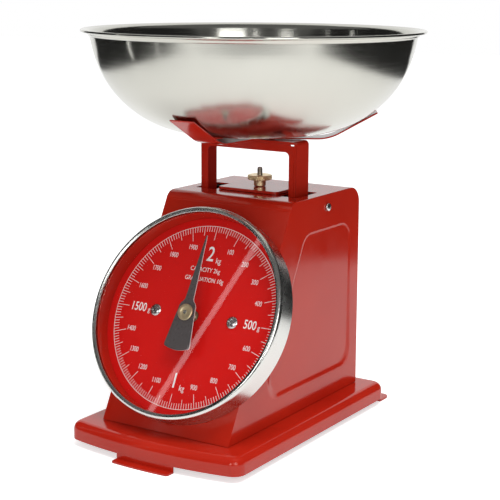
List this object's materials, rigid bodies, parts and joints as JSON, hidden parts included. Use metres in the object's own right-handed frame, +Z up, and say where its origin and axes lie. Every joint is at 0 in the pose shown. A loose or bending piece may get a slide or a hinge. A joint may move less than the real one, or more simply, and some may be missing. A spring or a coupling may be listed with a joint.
{
  "type": "kitchen scale",
  "caption": "Retro spring kitchen scale: sloping sheet-steel case with a round 2 kg dial, a yoke and cradle on top, and a lift-off steel bowl.",
  "frame": {"origin": "On the table under the middle of the scale's outline, bowl and feet included.", "axes": "+Z up, -Y towards the user and the dial, +X to the right as the user sees it."},
  "size_m": [0.23, 0.246, 0.2688],
  "materials": {
    "red_enamel": "gloss",
    "stainless": "satin",
    "bezel_steel": "polished",
    "screw_steel": "bright",
    "zinc": "zinc plated",
    "brass": "polished",
    "lens": "clear",
    "dial_print": "printed",
    "pointer_paint": "satin"
  },
  "bodies": {
    "base": {"base_pan": "red_enamel", "bearing_bracket": "zinc", "bezel": "bezel_steel", "bridge": "zinc", "chassis": "zinc", "chassis_screw_1": "zinc", "chassis_screw_2": "zinc", "chassis_screw_3": "zinc", "chassis_screw_4": "zinc", "dial_pan": "red_enamel", "dial_plate": "dial_print", "dial_screw_left": "screw_steel", "dial_screw_right": "screw_steel", "front_bush": "brass", "housing_cover": "red_enamel", "lens": "lens", "lower_pivot_rod": "zinc", "main_spring": "zinc", "rear_bush": "brass", "side_screw_left": "screw_steel", "side_screw_right": "screw_steel", "spacer_ring": "bezel_steel", "top_plate": "red_enamel", "upper_pivot_rod": "zinc"},
    "pointer": {"pointer": "pointer_paint", "pointer_hub": "brass", "pinion_shaft": "zinc", "shaft_clip": "zinc"},
    "upper_link": {"upper_link": "zinc", "upper_link_rod": "zinc"},
    "lower_link": {"lower_link": "zinc", "lower_link_rod": "zinc"},
    "tare_nut": {"tare_nut": "brass"},
    "tare_rod": {"tare_rod": "brass", "upper_spring_plug": "zinc"},
    "bowl": {"bowl": "stainless"},
    "carriage": {"carriage_bar": "zinc", "carriage_rivet_left": "zinc", "carriage_rivet_right": "zinc", "cradle": "red_enamel", "cradle_rivet_left": "red_enamel", "cradle_rivet_right": "red_enamel", "lower_plug_nut": "zinc", "lower_spring_plug": "zinc", "rack": "brass", "rack_arm": "zinc", "rack_arm_rivet_left": "zinc", "rack_arm_rivet_right": "zinc", "rack_rivet": "zinc", "yoke": "red_enamel"}
  },
  "joints": [
    {"name": "load_slide", "type": "slide", "parent": "base", "child": "carriage", "axis": [0, 0, -1], "range_m": [0, 0.0128], "stiffness_N_per_m": 1540, "springref_m": -0.0042, "deforming": ["main_spring"]},
    {"name": "pointer_turn", "type": "hinge", "parent": "base", "child": "pointer", "pos_m": [0, -0.06043, 0.0853], "axis": [0, -0.887, 0.4617], "range_deg": [-370, 5]},
    {"name": "upper_link_swing", "type": "hinge", "parent": "base", "child": "upper_link", "pos_m": [0, 0.056, 0.1236], "axis": [1, 0, 0], "range_deg": [-1, 17]},
    {"name": "lower_link_swing", "type": "hinge", "parent": "base", "child": "lower_link", "pos_m": [0, 0.056, 0.0556], "axis": [1, 0, 0], "range_deg": [-1, 17]},
    {"name": "tare_nut_turn", "type": "hinge", "parent": "base", "child": "tare_nut", "pos_m": [0, 0.017, 0.165], "axis": [0, 0, 1], "range_deg": [-720, 720]},
    {"name": "tare_rod_slide", "type": "slide", "parent": "base", "child": "tare_rod", "axis": [0, 0, 1], "range_m": [-0.00139, 0.00139]},
    {"name": "bowl_lift", "type": "slide", "parent": "carriage", "child": "bowl", "axis": [0, 0, 1], "range_m": [0, 0.12]}
  ],
  "couplings": [
    {"joint": "pointer_turn", "follows": "load_slide", "rad_per_m": -492.78},
    {"joint": "upper_link_swing", "follows": "load_slide", "rad_per_m": 20.992},
    {"joint": "lower_link_swing", "follows": "load_slide", "rad_per_m": 20.992},
    {"joint": "tare_nut_turn", "follows": "tare_rod_slide", "rad_per_m": 8976}
  ]
}
